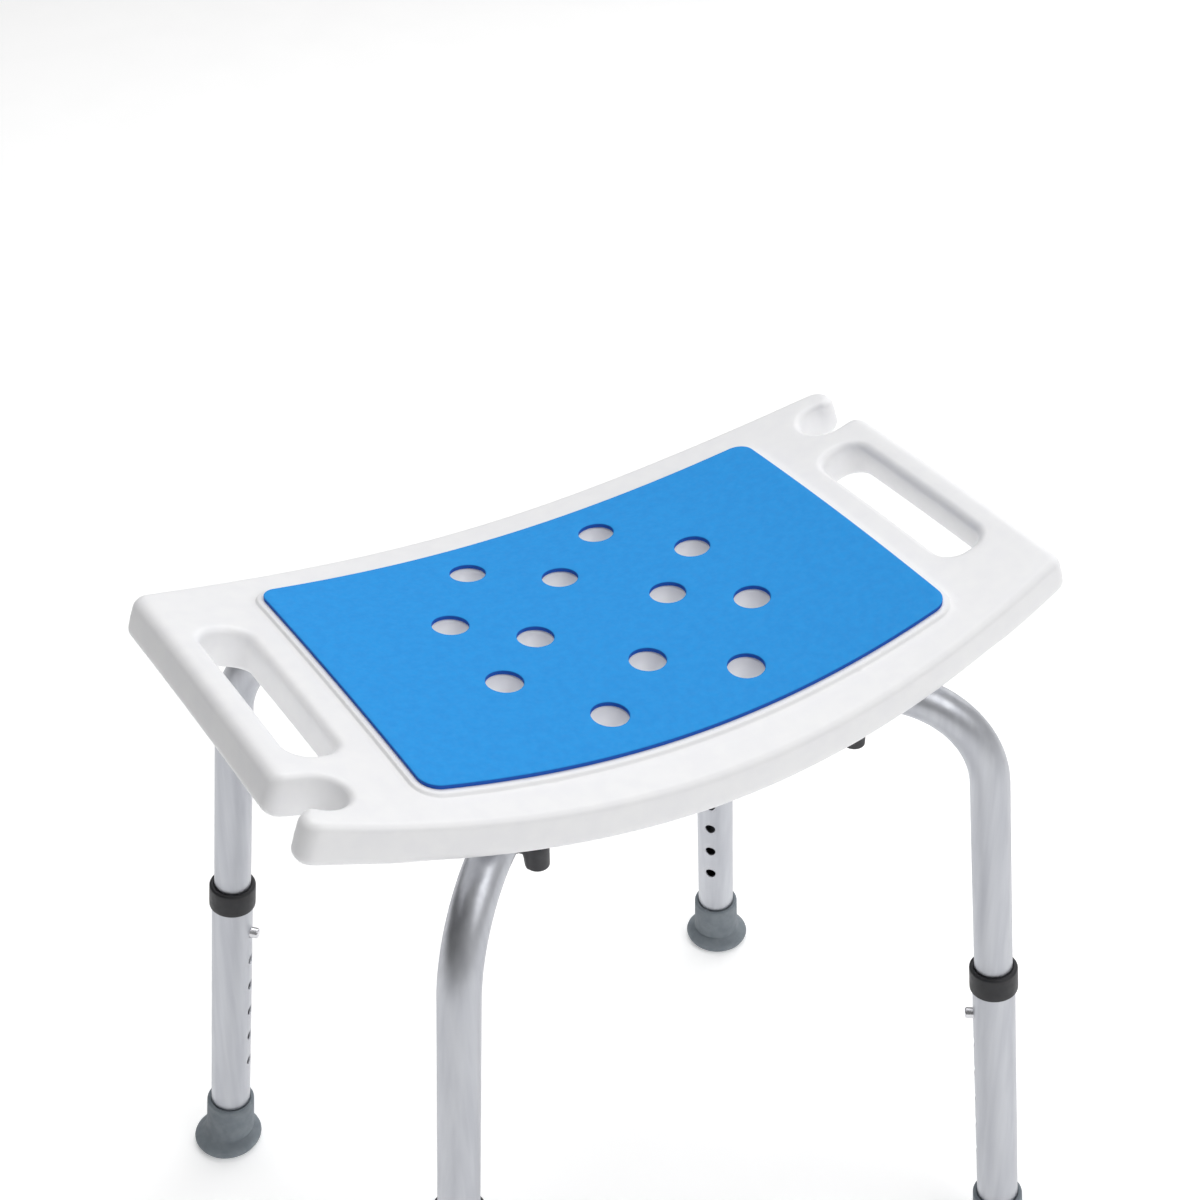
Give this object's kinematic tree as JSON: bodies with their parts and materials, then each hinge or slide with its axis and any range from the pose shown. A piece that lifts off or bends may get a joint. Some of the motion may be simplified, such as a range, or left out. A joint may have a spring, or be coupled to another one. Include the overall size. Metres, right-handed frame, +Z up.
{
  "type": "shower stool",
  "caption": "Height-adjustable shower stool with a dished padded seat, hand slots, a crossed tube frame and rubber feet.",
  "frame": {"origin": "on the floor under the middle of the seat, with all four legs at their longest", "axes": "+Z up, +X along the seat's length, -Y towards the front edge"},
  "size_m": [0.51, 0.425, 0.5409],
  "materials": {
    "seat_plastic": "satin",
    "pad_foam": "matte",
    "tube_aluminium": "satin",
    "dark_plastic": "satin",
    "foot_rubber": "matte",
    "knob_plastic": "matte",
    "plated_steel": "satin",
    "button_steel": "polished",
    "insert_brass": "satin"
  },
  "bodies": {
    "root": {"seat": "seat_plastic", "seat_pad": "pad_foam", "seat_inserts": "insert_brass", "frame_tube_a": "tube_aluminium", "frame_tube_b": "tube_aluminium", "cross_bolt": "plated_steel", "cross_nut": "plated_steel", "cross_saddles": "dark_plastic", "snap_spring_fl": "plated_steel", "snap_spring_fr": "plated_steel", "snap_spring_bl": "plated_steel", "snap_spring_br": "plated_steel"},
    "leg_fl": {"lower_tube_fl": "tube_aluminium", "collar_fl": "dark_plastic", "foot_fl": "foot_rubber", "foot_washer_fl": "plated_steel"},
    "button_fl": {"snap_button_fl": "button_steel"},
    "saddle_fl": {"knob_saddle_fl": "dark_plastic"},
    "knob_fl": {"wing_knob_fl": "knob_plastic", "knob_screw_fl": "plated_steel"},
    "leg_fr": {"lower_tube_fr": "tube_aluminium", "collar_fr": "dark_plastic", "foot_fr": "foot_rubber", "foot_washer_fr": "plated_steel"},
    "button_fr": {"snap_button_fr": "button_steel"},
    "saddle_fr": {"knob_saddle_fr": "dark_plastic"},
    "knob_fr": {"wing_knob_fr": "knob_plastic", "knob_screw_fr": "plated_steel"},
    "leg_bl": {"lower_tube_bl": "tube_aluminium", "collar_bl": "dark_plastic", "foot_bl": "foot_rubber", "foot_washer_bl": "plated_steel"},
    "button_bl": {"snap_button_bl": "button_steel"},
    "saddle_bl": {"knob_saddle_bl": "dark_plastic"},
    "knob_bl": {"wing_knob_bl": "knob_plastic", "knob_screw_bl": "plated_steel"},
    "leg_br": {"lower_tube_br": "tube_aluminium", "collar_br": "dark_plastic", "foot_br": "foot_rubber", "foot_washer_br": "plated_steel"},
    "button_br": {"snap_button_br": "button_steel"},
    "saddle_br": {"knob_saddle_br": "dark_plastic"},
    "knob_br": {"wing_knob_br": "knob_plastic", "knob_screw_br": "plated_steel"}
  },
  "joints": [
    {"name": "leg_height_fl", "type": "slide", "parent": "root", "child": "leg_fl", "axis": [0.0798, 0.0675, 0.9945], "range_m": [0, 0.127], "deforming": ["snap_button_fl"]},
    {"name": "button_press_fl", "type": "slide", "parent": "root", "child": "button_fl", "axis": [-0.7596, -0.6419, 0.1045], "range_m": [0, 0.007], "stiffness_N_per_m": 1500, "springref_m": -0.003, "deforming": ["snap_spring_fl"]},
    {"name": "knob_travel_fl", "type": "slide", "parent": "root", "child": "saddle_fl", "axis": [0, 0, -1], "range_m": [0, 0.005]},
    {"name": "knob_turn_fl", "type": "hinge", "parent": "saddle_fl", "child": "knob_fl", "pos_m": [-0.12221, -0.10327, 0.4726], "axis": [0, 0, -1], "range_deg": [0, 1800]},
    {"name": "leg_height_fr", "type": "slide", "parent": "root", "child": "leg_fr", "axis": [-0.0798, 0.0675, 0.9945], "range_m": [0, 0.127], "deforming": ["snap_button_fr"]},
    {"name": "button_press_fr", "type": "slide", "parent": "root", "child": "button_fr", "axis": [0.7596, -0.6419, 0.1045], "range_m": [0, 0.007], "stiffness_N_per_m": 1500, "springref_m": -0.003, "deforming": ["snap_spring_fr"]},
    {"name": "knob_travel_fr", "type": "slide", "parent": "root", "child": "saddle_fr", "axis": [0, 0, -1], "range_m": [0, 0.005]},
    {"name": "knob_turn_fr", "type": "hinge", "parent": "saddle_fr", "child": "knob_fr", "pos_m": [0.12221, -0.10327, 0.4726], "axis": [0, 0, -1], "range_deg": [0, 1800]},
    {"name": "leg_height_bl", "type": "slide", "parent": "root", "child": "leg_bl", "axis": [0.0798, -0.0675, 0.9945], "range_m": [0, 0.127], "deforming": ["snap_button_bl"]},
    {"name": "button_press_bl", "type": "slide", "parent": "root", "child": "button_bl", "axis": [-0.7596, 0.6419, 0.1045], "range_m": [0, 0.007], "stiffness_N_per_m": 1500, "springref_m": -0.003, "deforming": ["snap_spring_bl"]},
    {"name": "knob_travel_bl", "type": "slide", "parent": "root", "child": "saddle_bl", "axis": [0, 0, -1], "range_m": [0, 0.005]},
    {"name": "knob_turn_bl", "type": "hinge", "parent": "saddle_bl", "child": "knob_bl", "pos_m": [-0.12221, 0.10327, 0.4726], "axis": [0, 0, -1], "range_deg": [0, 1800]},
    {"name": "leg_height_br", "type": "slide", "parent": "root", "child": "leg_br", "axis": [-0.0798, -0.0675, 0.9945], "range_m": [0, 0.127], "deforming": ["snap_button_br"]},
    {"name": "button_press_br", "type": "slide", "parent": "root", "child": "button_br", "axis": [0.7596, 0.6419, 0.1045], "range_m": [0, 0.007], "stiffness_N_per_m": 1500, "springref_m": -0.003, "deforming": ["snap_spring_br"]},
    {"name": "knob_travel_br", "type": "slide", "parent": "root", "child": "saddle_br", "axis": [0, 0, -1], "range_m": [0, 0.005]},
    {"name": "knob_turn_br", "type": "hinge", "parent": "saddle_br", "child": "knob_br", "pos_m": [0.12221, 0.10327, 0.4726], "axis": [0, 0, -1], "range_deg": [0, 1800]}
  ],
  "couplings": [
    {"joint": "knob_turn_fl", "follows": "knob_travel_fl", "rad_per_m": 6283.2},
    {"joint": "knob_turn_fr", "follows": "knob_travel_fr", "rad_per_m": 6283.2},
    {"joint": "knob_turn_bl", "follows": "knob_travel_bl", "rad_per_m": 6283.2},
    {"joint": "knob_turn_br", "follows": "knob_travel_br", "rad_per_m": 6283.2}
  ]
}
